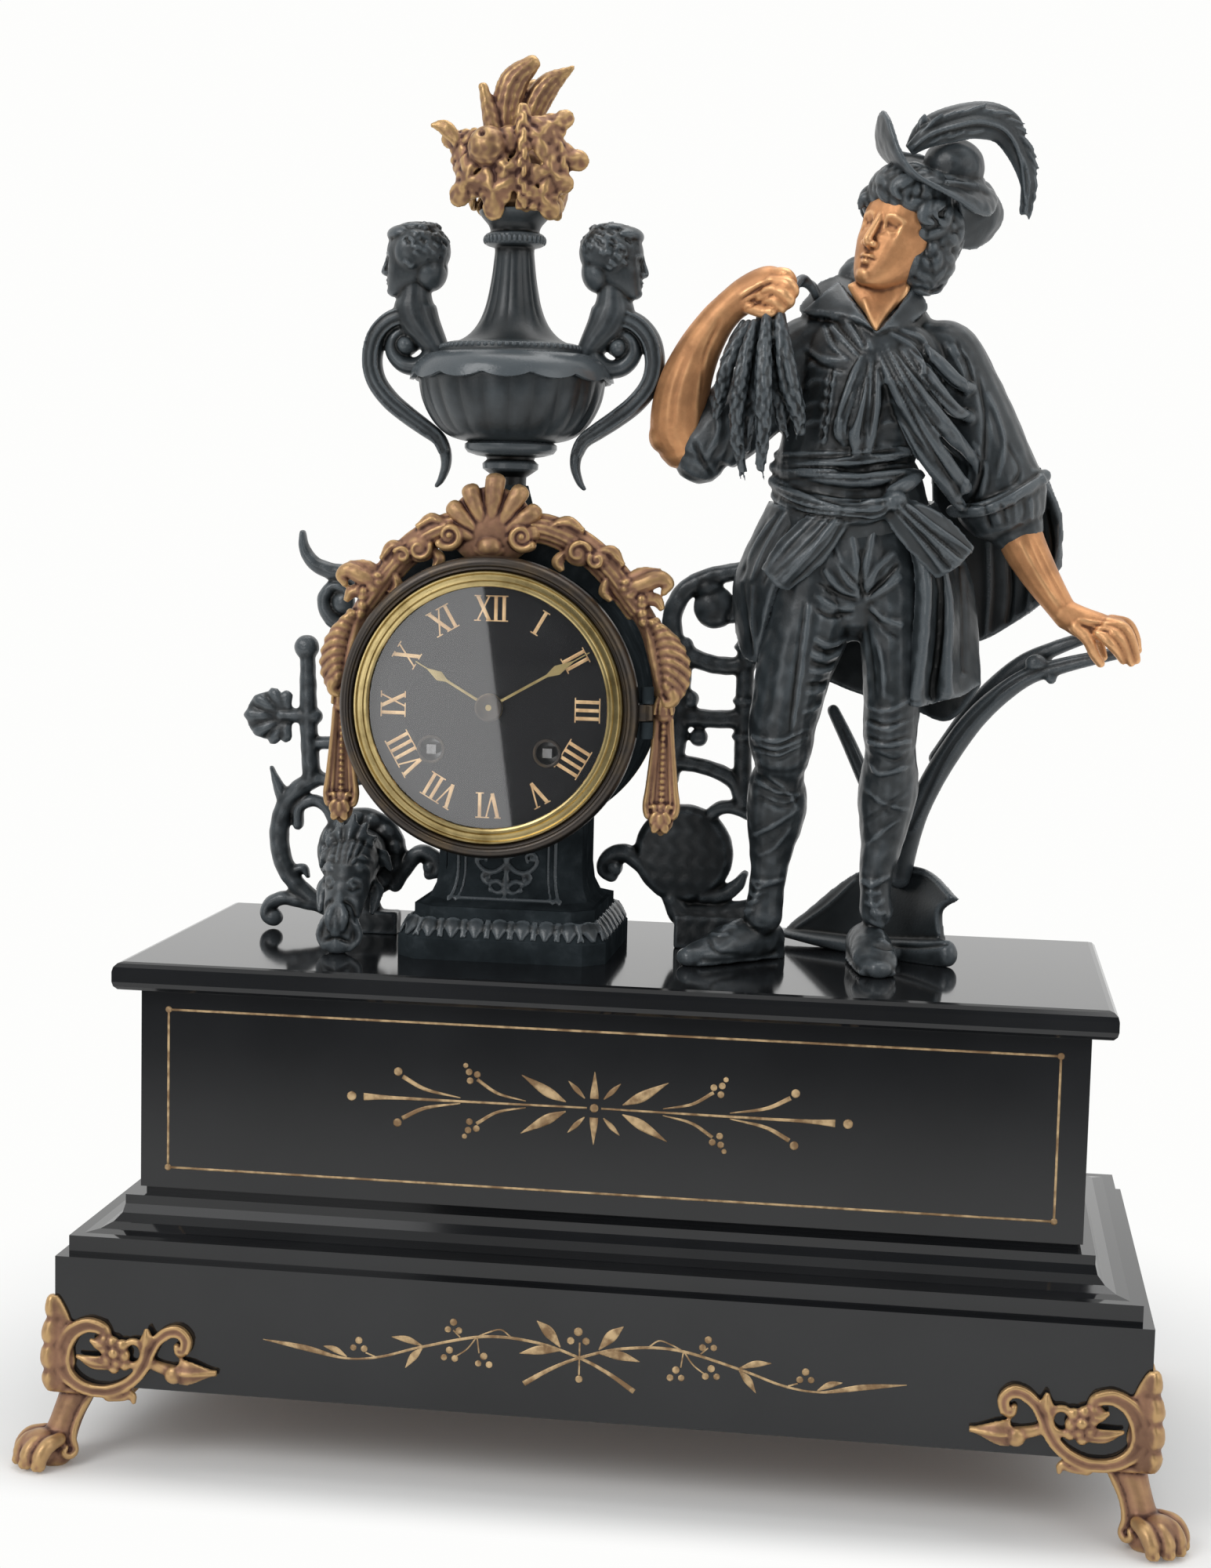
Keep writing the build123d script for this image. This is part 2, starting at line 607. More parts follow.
for x, y, z in stud_spots:
    stud_holes += rod_z(x, y, STUD_R + SPIGOT_CLEAR, z, z + STUD_GRIP + SPIGOT_CLEAR)

# One paw foot at the front left corner, then the other three by mirror
ring_z = Z_PLINTH + FOOT_RING_R
wing = Part()
ring_x = FOOT_RING_OUT
half_plate = FOOT_PLATE_T / 2
wing_y = -half_plate
ring_turn = Pos(ring_x, wing_y, ring_z) * Rot(90, 0, 0)
ring = ring_turn * Cylinder(FOOT_RING_R, FOOT_PLATE_T)
ring -= ring_turn * Cylinder(FOOT_RING_R - FOOT_RING_BAND, FOOT_PLATE_T)
wing += ring
spear_x = ring_x + FOOT_RING_R - FOOT_RING_BAND / 2
spear = [(spear_x, ring_z - FOOT_RING_BAND), (spear_x + FOOT_SPEAR_L / 2, ring_z - FOOT_SPEAR_H / 2)]
spear += [(spear_x + FOOT_SPEAR_L, ring_z), (spear_x + FOOT_SPEAR_L / 2, ring_z + FOOT_SPEAR_H / 2)]
spear += [(spear_x, ring_z + FOOT_RING_BAND)]
plate = Rot(90, 0, 0) * extrude(make_face(Polyline(*spear, close=True)), FOOT_PLATE_T)
wing += plate
leaf_x = FOOT_LEAF_W
link = [(0, Z_PLINTH), (0, Z_PLINTH + FOOT_LEAF_H), (leaf_x / 2, Z_PLINTH + FOOT_LEAF_H)]
link += [(leaf_x, Z_PLINTH + FOOT_LEAF_H / 2), (ring_x - FOOT_RING_R + FOOT_RING_BAND / 2, ring_z)]
link += [(ring_x - FOOT_RING_R + FOOT_RING_BAND / 2, Z_PLINTH)]
plate = Rot(90, 0, 0) * extrude(make_face(Polyline(*link, close=True)), FOOT_PLATE_T)
wing += plate
other = mirror(wing, Plane(origin=(0, 0, 0), x_dir=(1, 1, 0), z_dir=(1, -1, 0)))
foot = wing + other
foot += box(-FOOT_PLATE_T, 0, -FOOT_PLATE_T, 0, Z_PLINTH, Z_PLINTH + FOOT_LEAF_H)
foot += box(-FOOT_PLATE_T, FOOT_LUG, -FOOT_PLATE_T, FOOT_LUG, Z_PLINTH - FOOT_LUG_T, Z_PLINTH)
out = FOOT_OUT
leg = [(0, 0, Z_PLINTH - FOOT_LUG_T / 2, FOOT_PAW_R), (-out / 3, -out / 3, Z_PLINTH / 2, FOOT_ANKLE_R)]
leg += [(-out / 2, -out / 2, FOOT_ANKLE_R, FOOT_PAW_R)]
shank = tube([(x, y, z, r) for x, y, z, r in leg])
toe = Pos(-out, -out, FOOT_PAW_R / 2) * Sphere(FOOT_PAW_R)
paw = shank + toe
keep = 3 * FOOT_PAW_R
paw = paw & box(-keep, keep, -keep, keep, 0, Z_PLINTH - FOOT_LUG_T / 2)
foot += paw
foot -= rod_z(FOOT_SCREW_IN, FOOT_SCREW_IN, FOOT_SCREW_R + SCREW_CLEAR, Z_PLINTH - FOOT_LUG_T, Z_PLINTH)
foot = Pos(-px, -py, 0) * foot
save(foot, "foot_front_left")
save(mirror(foot, Plane.YZ), "foot_front_right")
save(mirror(foot, Plane.XZ), "foot_back_left")
save(mirror(mirror(foot, Plane.XZ), Plane.YZ), "foot_back_right")
screws = Part()
z_lug = Z_PLINTH - FOOT_LUG_T
for x, y in screw_spots:
    screws += rod_z(x, y, FOOT_SCREW_R, z_lug, Z_PLINTH + BOARD_T)
    screws += rod_z(x, y, FOOT_SCREW_HEAD_R, z_lug - FOOT_SCREW_HEAD_T, z_lug)
save(screws, "foot_screws")

# Pedestal, hollow for the pendulum


def octagon(half_w, y0, y1, cut, z):
    """A rectangle with cut corners at a height."""
    pts = [(cut - half_w, y0), (half_w - cut, y0), (half_w, y0 + cut), (half_w, y1 - cut)]
    pts += [(half_w - cut, y1), (cut - half_w, y1), (-half_w, y1 - cut), (-half_w, y0 + cut)]
    return Pos(AXIS_X + PED_SHIFT, 0, z) * make_face(Polyline(*pts, close=True))


base_z = Z_TOP + PED_BASE_H
step_z = base_z + PED_STEP_H
neck_z = Z_TOP + PED_NECK_RISE
ped = extrude(octagon(PED_HALF_W, PED_FRONT_Y, PED_BACK_Y, PED_CHAMFER, Z_TOP), PED_BASE_H)
step_w = PED_HALF_W - PED_STEP_IN
step_y0 = PED_FRONT_Y + PED_STEP_IN
step_y1 = PED_BACK_Y - PED_STEP_IN
ped += loft([
    octagon(PED_HALF_W, PED_FRONT_Y, PED_BACK_Y, PED_CHAMFER, base_z),
    octagon(step_w, step_y0, step_y1, PED_CHAMFER, step_z)], ruled=True)
neck_y0 = PED_FRONT_Y + PED_NECK_FRONT_IN
neck_y1 = PED_BACK_Y - PED_NECK_FRONT_IN
ped += extrude(octagon(step_w, step_y0, step_y1, PED_CHAMFER, step_z), PED_LEDGE_H)
ledge_z = step_z + PED_LEDGE_H
ledge_w = step_w - PED_LEDGE_IN
ledge_y0 = step_y0 + PED_LEDGE_IN
ledge_y1 = step_y1 - PED_LEDGE_IN
flare = []
for turn in (0, 30, 60, 90):
    a = math.radians(turn)
    low = 1 - math.sin(a)
    w = PED_NECK_HALF_W + low * (ledge_w - PED_NECK_HALF_W)
    y0 = neck_y0 + low * (ledge_y0 - neck_y0)
    y1 = neck_y1 + low * (ledge_y1 - neck_y1)
    flare.append(octagon(w, y0, y1, PED_CHAMFER, ledge_z + (1 - math.cos(a)) * (neck_z - ledge_z)))
for under, over in zip(flare, flare[1:]):
    ped += loft([under, over], ruled=True)
ped += extrude(octagon(PED_NECK_HALF_W, neck_y0, neck_y1, PED_CHAMFER, neck_z), DIAL_RISE - PED_NECK_RISE)
drum_bar = rod_y(0, 0, DRUM_R + SEAT_GAP, neck_y0 - PED_HALF_W, neck_y1 + PED_HALF_W)
ped -= drum_bar
slot_y0 = PENDULUM_Y - PED_SLOT_HALF_D
slot_y1 = PENDULUM_Y + PED_SLOT_HALF_D
slot_x0 = AXIS_X - PED_SLOT_HALF_W
slot_x1 = AXIS_X + PED_SLOT_HALF_W
ped -= box(slot_x0, slot_x1, slot_y0, slot_y1, Z_TOP, DIAL_Z)
ped -= stud_holes
save(ped, "pedestal")

# Drum with ledges, hinge knuckles and a slot for the pendulum
drum_outline = [
    (DRUM_IN_R, DRUM_FRONT_Y), (DRUM_R, DRUM_FRONT_Y), (DRUM_R, DRUM_BACK_Y), (DRUM_IN_R, DRUM_BACK_Y),
    (DRUM_IN_R, PLATE_BACK_Y + LEDGE_T), (LEDGE_R, PLATE_BACK_Y + LEDGE_T), (LEDGE_R, PLATE_BACK_Y),
    (DRUM_IN_R, PLATE_BACK_Y), (DRUM_IN_R, DIAL_BACK_Y + LEDGE_T), (LEDGE_R, DIAL_BACK_Y + LEDGE_T),
    (LEDGE_R, DIAL_BACK_Y), (DRUM_IN_R, DIAL_BACK_Y),
]
drum = lathe_y(drum_outline)
drum -= box(slot_x0 + PED_WALL, slot_x1 - PED_WALL, slot_y0 + PED_WALL, slot_y1 - PED_WALL, Z_TOP, DIAL_Z)
front_axis = (AXIS_X + DRUM_R + HINGE_OUT, DRUM_FRONT_Y)
back_axis = (AXIS_X - DRUM_R - HINGE_OUT, DRUM_BACK_Y)
pin_half = 1.5 * KNUCKLE_H + KNUCKLE_GAP
door_y = DRUM_BACK_Y + DOOR_GAP


def knuckle(axis, mid, half, reach, y0, y1):
    """A hinge knuckle with an arm from the hinge axis to a radius of the drum."""
    x, y = axis
    ear = rod_z(x, y, HINGE_R, mid - half, mid + half)
    lo, hi = sorted((x, reach))
    return ear + box(lo, hi, y0, y1, mid - half, mid + half)


half_k = KNUCKLE_H / 2
for axis, side, y0, y1 in (
        (front_axis, 1, DRUM_FRONT_Y, DRUM_FRONT_Y + HINGE_R),
        (back_axis, -1, DRUM_BACK_Y - HINGE_R, DRUM_BACK_Y)):
    reach = AXIS_X + side * (DRUM_R - DRUM_WALL / 2)
    for way in (-1, 1):
        mid = DIAL_Z + way * (KNUCKLE_H + KNUCKLE_GAP)
        ear = knuckle(axis, mid, half_k, reach, y0, y1)
        drum += ear - rod_y(0, 0, DRUM_IN_R, DRUM_FRONT_Y, DRUM_BACK_Y)
    drum += rod_z(*axis, HINGE_PIN_R, DIAL_Z - pin_half, DIAL_Z + pin_half)
save(drum, "drum_case")

# Bezel door with its sight ring and glass
round_r = BEZEL_T / 3
bezel_outline = [(BEZEL_MID_R, BEZEL_BACK_Y), (BEZEL_R, BEZEL_BACK_Y)]
for turn in (0, 30, 60, 90):
    a = math.radians(turn)
    bezel_outline.append((BEZEL_R - round_r * (1 - math.cos(a)), BEZEL_Y + round_r * (1 - math.sin(a))))
bezel_outline += [
    (BEZEL_MID_R + 2 * BEZEL_BEAD, BEZEL_Y), (BEZEL_MID_R + BEZEL_BEAD, BEZEL_Y + BEZEL_BEAD),
    (BEZEL_MID_R, BEZEL_Y + BEZEL_BEAD),
]
bezel = lathe_y(bezel_outline)
reach = AXIS_X + BEZEL_R - DRUM_WALL
ear = knuckle(front_axis, DIAL_Z, half_k, reach, BEZEL_BACK_Y - HINGE_R, BEZEL_BACK_Y)
bezel += ear - rod_y(0, 0, BEZEL_MID_R + DRUM_WALL / 2, BEZEL_Y, DRUM_BACK_Y)
save(bezel - rod_z(*front_axis, HINGE_PIN_R + RUN_CLEAR, DIAL_Z - half_k, DIAL_Z + half_k), "bezel_ring")
glass_y1 = BEZEL_BACK_Y - GLASS_SEAT_share * BEZEL_T
glass_y0 = glass_y1 - GLASS_T
sight_y = glass_y0 - SIGHT_T / 4
sight_outline = [
    (SIGHT_R, glass_y0), (GLASS_R, glass_y0), (GLASS_R, BEZEL_BACK_Y), (BEZEL_MID_R, BEZEL_BACK_Y),
    (BEZEL_MID_R, BEZEL_Y + 2 * BEZEL_BEAD), (BEZEL_MID_R - BEZEL_BEAD, BEZEL_Y + BEZEL_BEAD),
    (BEZEL_MID_R - 2 * BEZEL_BEAD, BEZEL_Y + 2 * BEZEL_BEAD), (SIGHT_R + 2 * BEZEL_BEAD, sight_y),
    (SIGHT_R + BEZEL_BEAD, sight_y - BEZEL_BEAD / 2), (SIGHT_R, sight_y),
]
save(lathe_y(sight_outline), "bezel_sight_ring")
save(rod_y(0, 0, GLASS_R - SPIGOT_CLEAR, glass_y0, glass_y1), "bezel_glass")

# Back door
door = rod_y(0, 0, DRUM_R, door_y, door_y + DOOR_T)
reach = AXIS_X - DRUM_R + DRUM_WALL
door += knuckle(back_axis, DIAL_Z, half_k, reach, door_y, door_y + DOOR_T)
door -= rod_z(*back_axis, HINGE_PIN_R + RUN_CLEAR, DIAL_Z - half_k, DIAL_Z + half_k)
door += rod_y(DRUM_R - 3 * DOOR_KNOB_R, 0, DOOR_KNOB_R, door_y + DOOR_T, door_y + 3 * DOOR_T)
save(door, "back_door")

# Saddle and stem under the urn
saddle_top = DRUM_R + SEAT_GAP + SADDLE_T
wedge_r = 2 * saddle_top
wedge_a = math.radians(SADDLE_HALF_ANGLE)
wedge = [(0, 0), (wedge_r * math.sin(wedge_a), wedge_r * math.cos(wedge_a))]
wedge += [(-wedge_r * math.sin(wedge_a), wedge_r * math.cos(wedge_a))]
saddle_y0 = URN_Y - SADDLE_HALF_D
saddle_y1 = URN_Y + SADDLE_HALF_D
saddle = rod_y(0, 0, saddle_top, saddle_y0, saddle_y1)
saddle = saddle & flat_y(wedge, saddle_y0, saddle_y1)
crown_z = DIAL_Z + saddle_top
urn_z = DIAL_Z + DRUM_R
stem_z = urn_z + URN_BOTTOM_shares[0][1] * URN_UNIT
stem_low = DIAL_Z + DRUM_R * math.cos(wedge_a)
stem = [(0, stem_low), (4 * SADDLE_NECK_R, stem_low), (3 * SADDLE_NECK_R, crown_z)]
stem += [(1.5 * SADDLE_NECK_R, (2 * crown_z + stem_z) / 3), (SADDLE_NECK_R, stem_z), (0, stem_z)]
socle = lathe_z(stem, AXIS_X, URN_Y) & (rod_y(0, 0, 3 * DRUM_R, saddle_y0, saddle_y1))
socle = saddle + socle
socle -= rod_y(0, 0, DRUM_R + SEAT_GAP, saddle_y0 - DRUM_R, saddle_y1 + DRUM_R)
socle -= rod_z(AXIS_X, URN_Y, SPIGOT_R + SPIGOT_CLEAR, stem_z - SPIGOT_L, stem_z)
save(socle, "urn_socle")

# Urn body, turned
urn_points = [(0, URN_BOTTOM_shares[0][1])] + URN_BOTTOM_shares + URN_BOWL_shares
urn_points += URN_SKIRT_shares + URN_NECK_shares + URN_LIP_shares + [URN_CUP_shares, (0, URN_CUP_shares[1])]
urn = lathe_z([(r * URN_UNIT, urn_z + h * URN_UNIT) for r, h in urn_points], AXIS_X, URN_Y)
urn += rod_z(AXIS_X, URN_Y, SPIGOT_R, stem_z - SPIGOT_L + SPIGOT_CLEAR, stem_z)
save(urn, "urn_body")


def urn_spot(side, shares, y=0):
    """A place on the urn from its shares."""
    return (AXIS_X + side * shares[0] * URN_UNIT, URN_Y + y * URN_UNIT, urn_z + shares[1] * URN_UNIT)


bouquet = Part()
for bx, by, bz, br in BOUQUET_shares:
    bouquet += Pos(*urn_spot(1, (bx, bz), by)) * Sphere(br * URN_UNIT)
cx, cy, c0, c1, r0, r1 = CARROT_shares
cone = Cone(r0 * URN_UNIT, r1 * URN_UNIT, (c1 - c0) * URN_UNIT)
bouquet += Pos(*urn_spot(1, (cx, (c0 + c1) / 2), cy)) * cone
cup_z = urn_z + URN_CUP_shares[1] * URN_UNIT
bouquet_z = urn_z + BOUQUET_shares[0][2] * URN_UNIT
bouquet += rod_z(AXIS_X, URN_Y, URN_CUP_shares[0] * URN_UNIT, cup_z, bouquet_z)
save(bouquet - urn, "urn_bouquet")

for side, name in ((-1, "urn_handle_left"), (1, "urn_handle_right")):
    nodes = []
    for spot, r in zip(HANDLE_ARM_shares, HANDLE_ARM_R_shares):
        nodes.append(urn_spot(side, spot) + (r * URN_UNIT,))
    handle = limb(nodes)
    curl_r = HANDLE_ARM_R_shares[0] * URN_UNIT
    for a, b in zip(HANDLE_shares, HANDLE_shares[1:]):
        handle += limb([urn_spot(side, a) + (curl_r,), urn_spot(side, b) + (curl_r,)])
    bust = [urn_spot(side, b[:2]) + (b[2] * URN_UNIT,) for b in BUST_shares]
    handle += limb(bust)
    handle += Pos(*urn_spot(side, BUST_HEAD_shares)) * Sphere(BUST_HEAD_shares[2] * URN_UNIT)
    save(handle - urn, name)


def crest_spot(side, shares):
    """A place on the gilt crest from its shares."""
    return (AXIS_X + side * shares[0] * CREST_UNIT, CREST_Y, DIAL_Z + shares[1] * CREST_UNIT)


shell = [(x * CREST_UNIT, z * CREST_UNIT) for x, z in SHELL_shares]
shell += [(-x, z) for x, z in reversed(shell[:-1])]
crest_y0 = CREST_Y - CREST_T / 2
crest_y1 = CREST_Y + CREST_T / 2
pendants = Part()
crest = flat_y(shell, crest_y0, saddle_y0)
crest -= rod_y(0, 0, DRUM_R + SEAT_GAP, crest_y0, saddle_y0)
save(crest - socle, "crest_shell")
for side, word in ((-1, "left"), (1, "right")):
    nodes = [crest_spot(side, s) + (r * CREST_UNIT,) for s, r in zip(SWAG_shares, SWAG_R_shares)]
    swag = limb(nodes)
    spur = [crest_spot(side, s) + (r * CREST_UNIT,) for s, r in zip(SWAG_SPUR_shares, SWAG_SPUR_R_shares)]
    swag += limb(spur)
    lug_z = SWAG_LUG_shares[0] * CREST_UNIT
    lug_r = SWAG_LUG_shares[1] * CREST_UNIT
    lo, hi = sorted((side * DRUM_IN_R, side * SWAG_shares[7][0] * CREST_UNIT))
    lug_z0 = DIAL_Z + lug_z - lug_r
    lug_z1 = DIAL_Z + lug_z + lug_r
    swag += box(AXIS_X + lo, AXIS_X + hi, CREST_Y - lug_r, CREST_Y + lug_r, lug_z0, lug_z1)
    swag -= rod_y(0, 0, DRUM_R + SEAT_GAP, crest_y0 - CREST_T, crest_y1 + CREST_T)
    swag -= crest
    save(swag - socle, "swag_" + word)
    nodes = [crest_spot(side, s) + (r * CREST_UNIT,) for s, r in zip(PENDANT_shares, PENDANT_R_shares)]
    pendant = limb(nodes)
    pendant -= rod_y(0, 0, DRUM_R + SEAT_GAP, crest_y0 - CREST_T, crest_y1 + CREST_T)
    pendants += pendant - swag
save(pendants, "swag_pendants")


# Pierced brackets at the sides of the case
def bracket_spot(side, shares, y=0):
    """A place on a bracket from its shares."""
    x = AXIS_X + side * shares[0] * BRACKET_UNIT
    return (x, BRACKET_Y + y * BRACKET_UNIT, Z_TOP + shares[1] * BRACKET_UNIT)


def disc_at(side, shares, r):
    """A disc in the plane of a bracket."""
    x, y, z = bracket_spot(side, shares)
    return Pos(x, y, z) * Rot(90, 0, 0) * Cylinder(r * BRACKET_UNIT, BRACKET_T)


for side, word in ((-1, "left"), (1, "right")):
    bracket = disc_at(side, BRACKET_DISC_shares, BRACKET_DISC_shares[2])
    bracket += disc_at(side, BRACKET_VOLUTE_shares, BRACKET_VOLUTE_shares[2])
    bracket += Pos(*bracket_spot(side, BRACKET_BALL_shares)) * Sphere(BRACKET_BALL_shares[2] * BRACKET_UNIT)
    bracket += disc_at(side, BRACKET_LEAF_shares, BRACKET_LEAF_shares[2])
    for a, b, w in BRACKET_BARS_shares:
        xa, ya, za = bracket_spot(side, a)
        xb, yb, zb = bracket_spot(side, b)
        length = math.hypot(xb - xa, zb - za)
        turn = math.degrees(math.atan2(zb - za, xb - xa))
        bar = Rot(0, -turn, 0) * Box(length, BRACKET_T, w * BRACKET_UNIT)
        bracket += Pos((xa + xb) / 2, ya, (za + zb) / 2) * bar
        bracket += disc_at(side, b, w / 2)
    if side < 0:
        spots = [bracket_spot(side, (d[0], d[1]), d[2]) + (d[3] * BRACKET_UNIT,) for d in DOLPHIN_shares]
        bracket += limb(spots)
    floor = 2 * PLINTH_W
    bracket = bracket & box(-floor, floor, -floor, floor, Z_TOP, Z_TOP + floor)
    bracket -= rod_y(0, 0, DRUM_R + SEAT_GAP, BRACKET_Y - BRACKET_T, BRACKET_Y + BRACKET_T)
    bracket -= ped
    bracket -= stud_holes
    save(bracket, "bracket_" + word)

# Figure
floor = box(-PLINTH_W, PLINTH_W, -PLINTH_D, PLINTH_D, Z_TOP, Z_TOP + PLINTH_W)
body = tube(fig(TORSO_shares))
for shares in (R_LEG_shares, L_LEG_shares, R_BOOT_shares, L_BOOT_shares, R_SLEEVE_shares, L_SLEEVE_shares):
    body += limb(fig(shares))
for shares in (COAT_shares, COAT_R_shares, COAT_BACK_shares):
    body += tube(fig(shares))
body += limb(fig(NECK_shares))
for boot in (R_BOOT_shares, L_BOOT_shares):
    for x, y, z, r in fig(boot)[:3]:
        body += rod_z(x, y, r, Z_TOP, z)
body = body & floor
body -= stud_holes
save(body, "figure_body")

head = limb(fig(HEAD_shares))
for x, y, z, r in fig(HAIR_shares):
    head += Pos(x, y, z) * Sphere(r)
head -= body
save(head, "figure_head")
hx, hy, hz, ha, hb, ht = fig([HAT_shares])[0]
hat = Pos(hx, hy, hz) * Rot(0, HAT_TILT, 0) * extrude(Ellipse(ha, hb), ht)
x, y, z, r = fig([HAT_CROWN_shares])[0]
hat += Pos(x, y, z) * Sphere(r)
hat += limb(fig(PLUME_shares))
save(hat - head, "figure_hat")
right_arm = limb(fig(R_FOREARM_shares)) + limb(fig(R_HAND_shares))
right_arm -= body
save(right_arm, "figure_right_forearm")
left_arm = limb(fig(L_FOREARM_shares)) + limb(fig(L_HAND_shares))
left_arm -= body
save(left_arm, "figure_left_forearm")
cape = tube(fig(CAPE_shares)) - body
cape -= left_arm
save(cape, "figure_cape")
wheat = limb(fig(WHEAT_shares)) + limb(fig(WHEAT_BACK_shares))
wheat -= body
wheat -= right_arm
wheat -= head
save(wheat, "wheat_sheaf")
plough_t = PLOUGH_T_share * FIG_UNIT
outline = [(s * FIG_UNIT, z * FIG_UNIT) for s, z in PLOUGH_BODY_shares]
slice_ = Rot(90, 0, 0) * extrude(make_face(Polyline(*outline, close=True)), plough_t / 2, both=True)
plough = Pos(plough_x, plough_y, Z_TOP) * Rot(0, 0, PLOUGH_TURN) * slice_
plough -= stud_holes
plough -= body
save(plough, "plough_body")
handles = limb(fig(PLOUGH_HANDLE_shares)) + limb(fig(PLOUGH_BEAM_shares))
handles -= plough
handles -= body
handles -= left_arm
save(handles - cape, "plough_handles")

# Movement: places of the arbors from the dial centre
G = (ARBOR_X, -ARBOR_DROP)
S = (-ARBOR_X, -ARBOR_DROP)
third_d = CENTRE_M * (CENTRE_TEETH + THIRD_PINION_TEETH) / 2
third_a = math.radians(THIRD_ANGLE)
THIRD = (third_d * math.cos(third_a), third_d * math.sin(third_a))
escape_d = THIRD_M * (THIRD_TEETH + ESCAPE_PINION_TEETH) / 2
escape_a = math.radians(ESCAPE_ANGLE)
ESCAPE = (THIRD[0] + escape_d * math.cos(escape_a), THIRD[1] + escape_d * math.sin(escape_a))
pin_d = BARREL_M * (BARREL_TEETH + PINION_TEETH) / 2
pin_a = math.radians(PIN_WHEEL_ANGLE)
PINS = (S[0] + pin_d * math.cos(pin_a), S[1] + pin_d * math.sin(pin_a))
ANCHOR = (0, ANCHOR_RISE)
HAMMER = (HAMMER_X, HAMMER_RISE)
minute_d = CANNON_M * (CANNON_TEETH + MINUTE_WHEEL_TEETH) / 2
MINUTE = (0, -minute_d)
arbor_y0 = PLATE_Y + PLATE_T / 2
arbor_y1 = BACK_Y + PLATE_T / 2
fine_arbors = (THIRD, ESCAPE, PINS)

hand_y1 = DIAL_Y - HAND_GAP
hour_y0 = hand_y1 - HAND_T
minute_y1 = hour_y0 - HAND_GAP
minute_y0 = minute_y1 - HAND_T
level_a1 = PLATE_Y - WHEEL_CLEAR
level_a0 = level_a1 - MOTION_T
level_b1 = level_a0 - WHEEL_CLEAR
level_b0 = level_b1 - MOTION_T

plate = rod_y(0, 0, PLATE_R, PLATE_Y, PLATE_BACK_Y)
plate += rod_y(*MINUTE, MINUTE_STUD_R, level_b0 - WHEEL_CLEAR, PLATE_Y)
for x, z in fine_arbors + (ANCHOR, HAMMER, (0, 0)):
    plate -= rod_y(x, z, ARBOR_R + RUN_CLEAR, PLATE_Y, PLATE_BACK_Y)
for x, z in (G, S):
    plate -= rod_y(x, z, WIND_R + RUN_CLEAR, PLATE_Y, PLATE_BACK_Y)
save(plate, "movement_front_plate")

back = rod_y(0, 0, BACK_PLATE_R, BACK_Y, BACK_END_Y)
for turn in PILLAR_ANGLES:
    a = math.radians(turn)
    back += rod_y(PILLAR_OUT * math.cos(a), PILLAR_OUT * math.sin(a), PILLAR_R, PLATE_BACK_Y, BACK_Y)
for x, z in fine_arbors + (HAMMER, (0, 0)):
    back -= rod_y(x, z, ARBOR_R + RUN_CLEAR, BACK_Y, BACK_END_Y)
for x, z in (G, S):
    back -= rod_y(x, z, WIND_R + RUN_CLEAR, BACK_Y, BACK_END_Y)
crutch_z = ANCHOR_RISE - CRUTCH_L
slot_w = CRUTCH_SLOT_HALF
slot_low = crutch_z - slot_w
slot_high = crutch_z + slot_w
slot = [(-slot_w, slot_low), (slot_w, slot_low), (slot_w, slot_high), (-slot_w, slot_high)]
back -= flat_y(slot, BACK_Y, BACK_END_Y)
back += rod_y(*ANCHOR, ARBOR_R, BACK_END_Y, PENDULUM_Y + PENDULUM_Y_GAP)
back -= rod_y(*ANCHOR, ARBOR_R + RUN_CLEAR, BACK_Y, BACK_Y + PLATE_T / 2 + RUN_CLEAR)
save(back, "movement_back_plate")

great_y0 = PLATE_BACK_Y + LEDGE_T + WHEEL_CLEAR
bore = WIND_R + RUN_CLEAR
going = rod_y(*G, BARREL_R, great_y0, great_y0 + BARREL_L)
going_y1 = great_y0 + BARREL_L + WHEEL_T
going += gear(BARREL_TEETH, BARREL_M, great_y0 + BARREL_L, going_y1, *G)
save(going - rod_y(*G, bore, great_y0, going_y1), "going_barrel")
strike_y1 = great_y0 + WHEEL_T + BARREL_L
strike = rod_y(*S, BARREL_R, great_y0 + WHEEL_T, strike_y1)
strike += gear(BARREL_TEETH, BARREL_M, great_y0, great_y0 + WHEEL_T, *S)
save(strike - rod_y(*S, bore, great_y0, strike_y1), "strike_barrel")

square = WIND_SQUARE / 2
for spot, word in ((G, "going"), (S, "strike")):
    arbor = rod_y(*spot, WIND_R, level_a0, arbor_y1)
    ratchet = []
    for k in range(RATCHET_TEETH):
        a = 2 * math.pi * k / RATCHET_TEETH
        ratchet.append((RATCHET_R * math.cos(a), RATCHET_R * math.sin(a)))
        b = a + 2 * math.pi / RATCHET_TEETH
        ratchet.append(((RATCHET_R - RATCHET_T) * math.cos(b), (RATCHET_R - RATCHET_T) * math.sin(b)))
    arbor += flat_y(ratchet, level_a0, level_a1, *spot)
    corners = [(-square, -square), (square, -square), (square, square), (-square, square)]
    arbor += flat_y(corners, DIAL_Y, level_a0, *spot)
    save(arbor, word + "_winding_arbor")

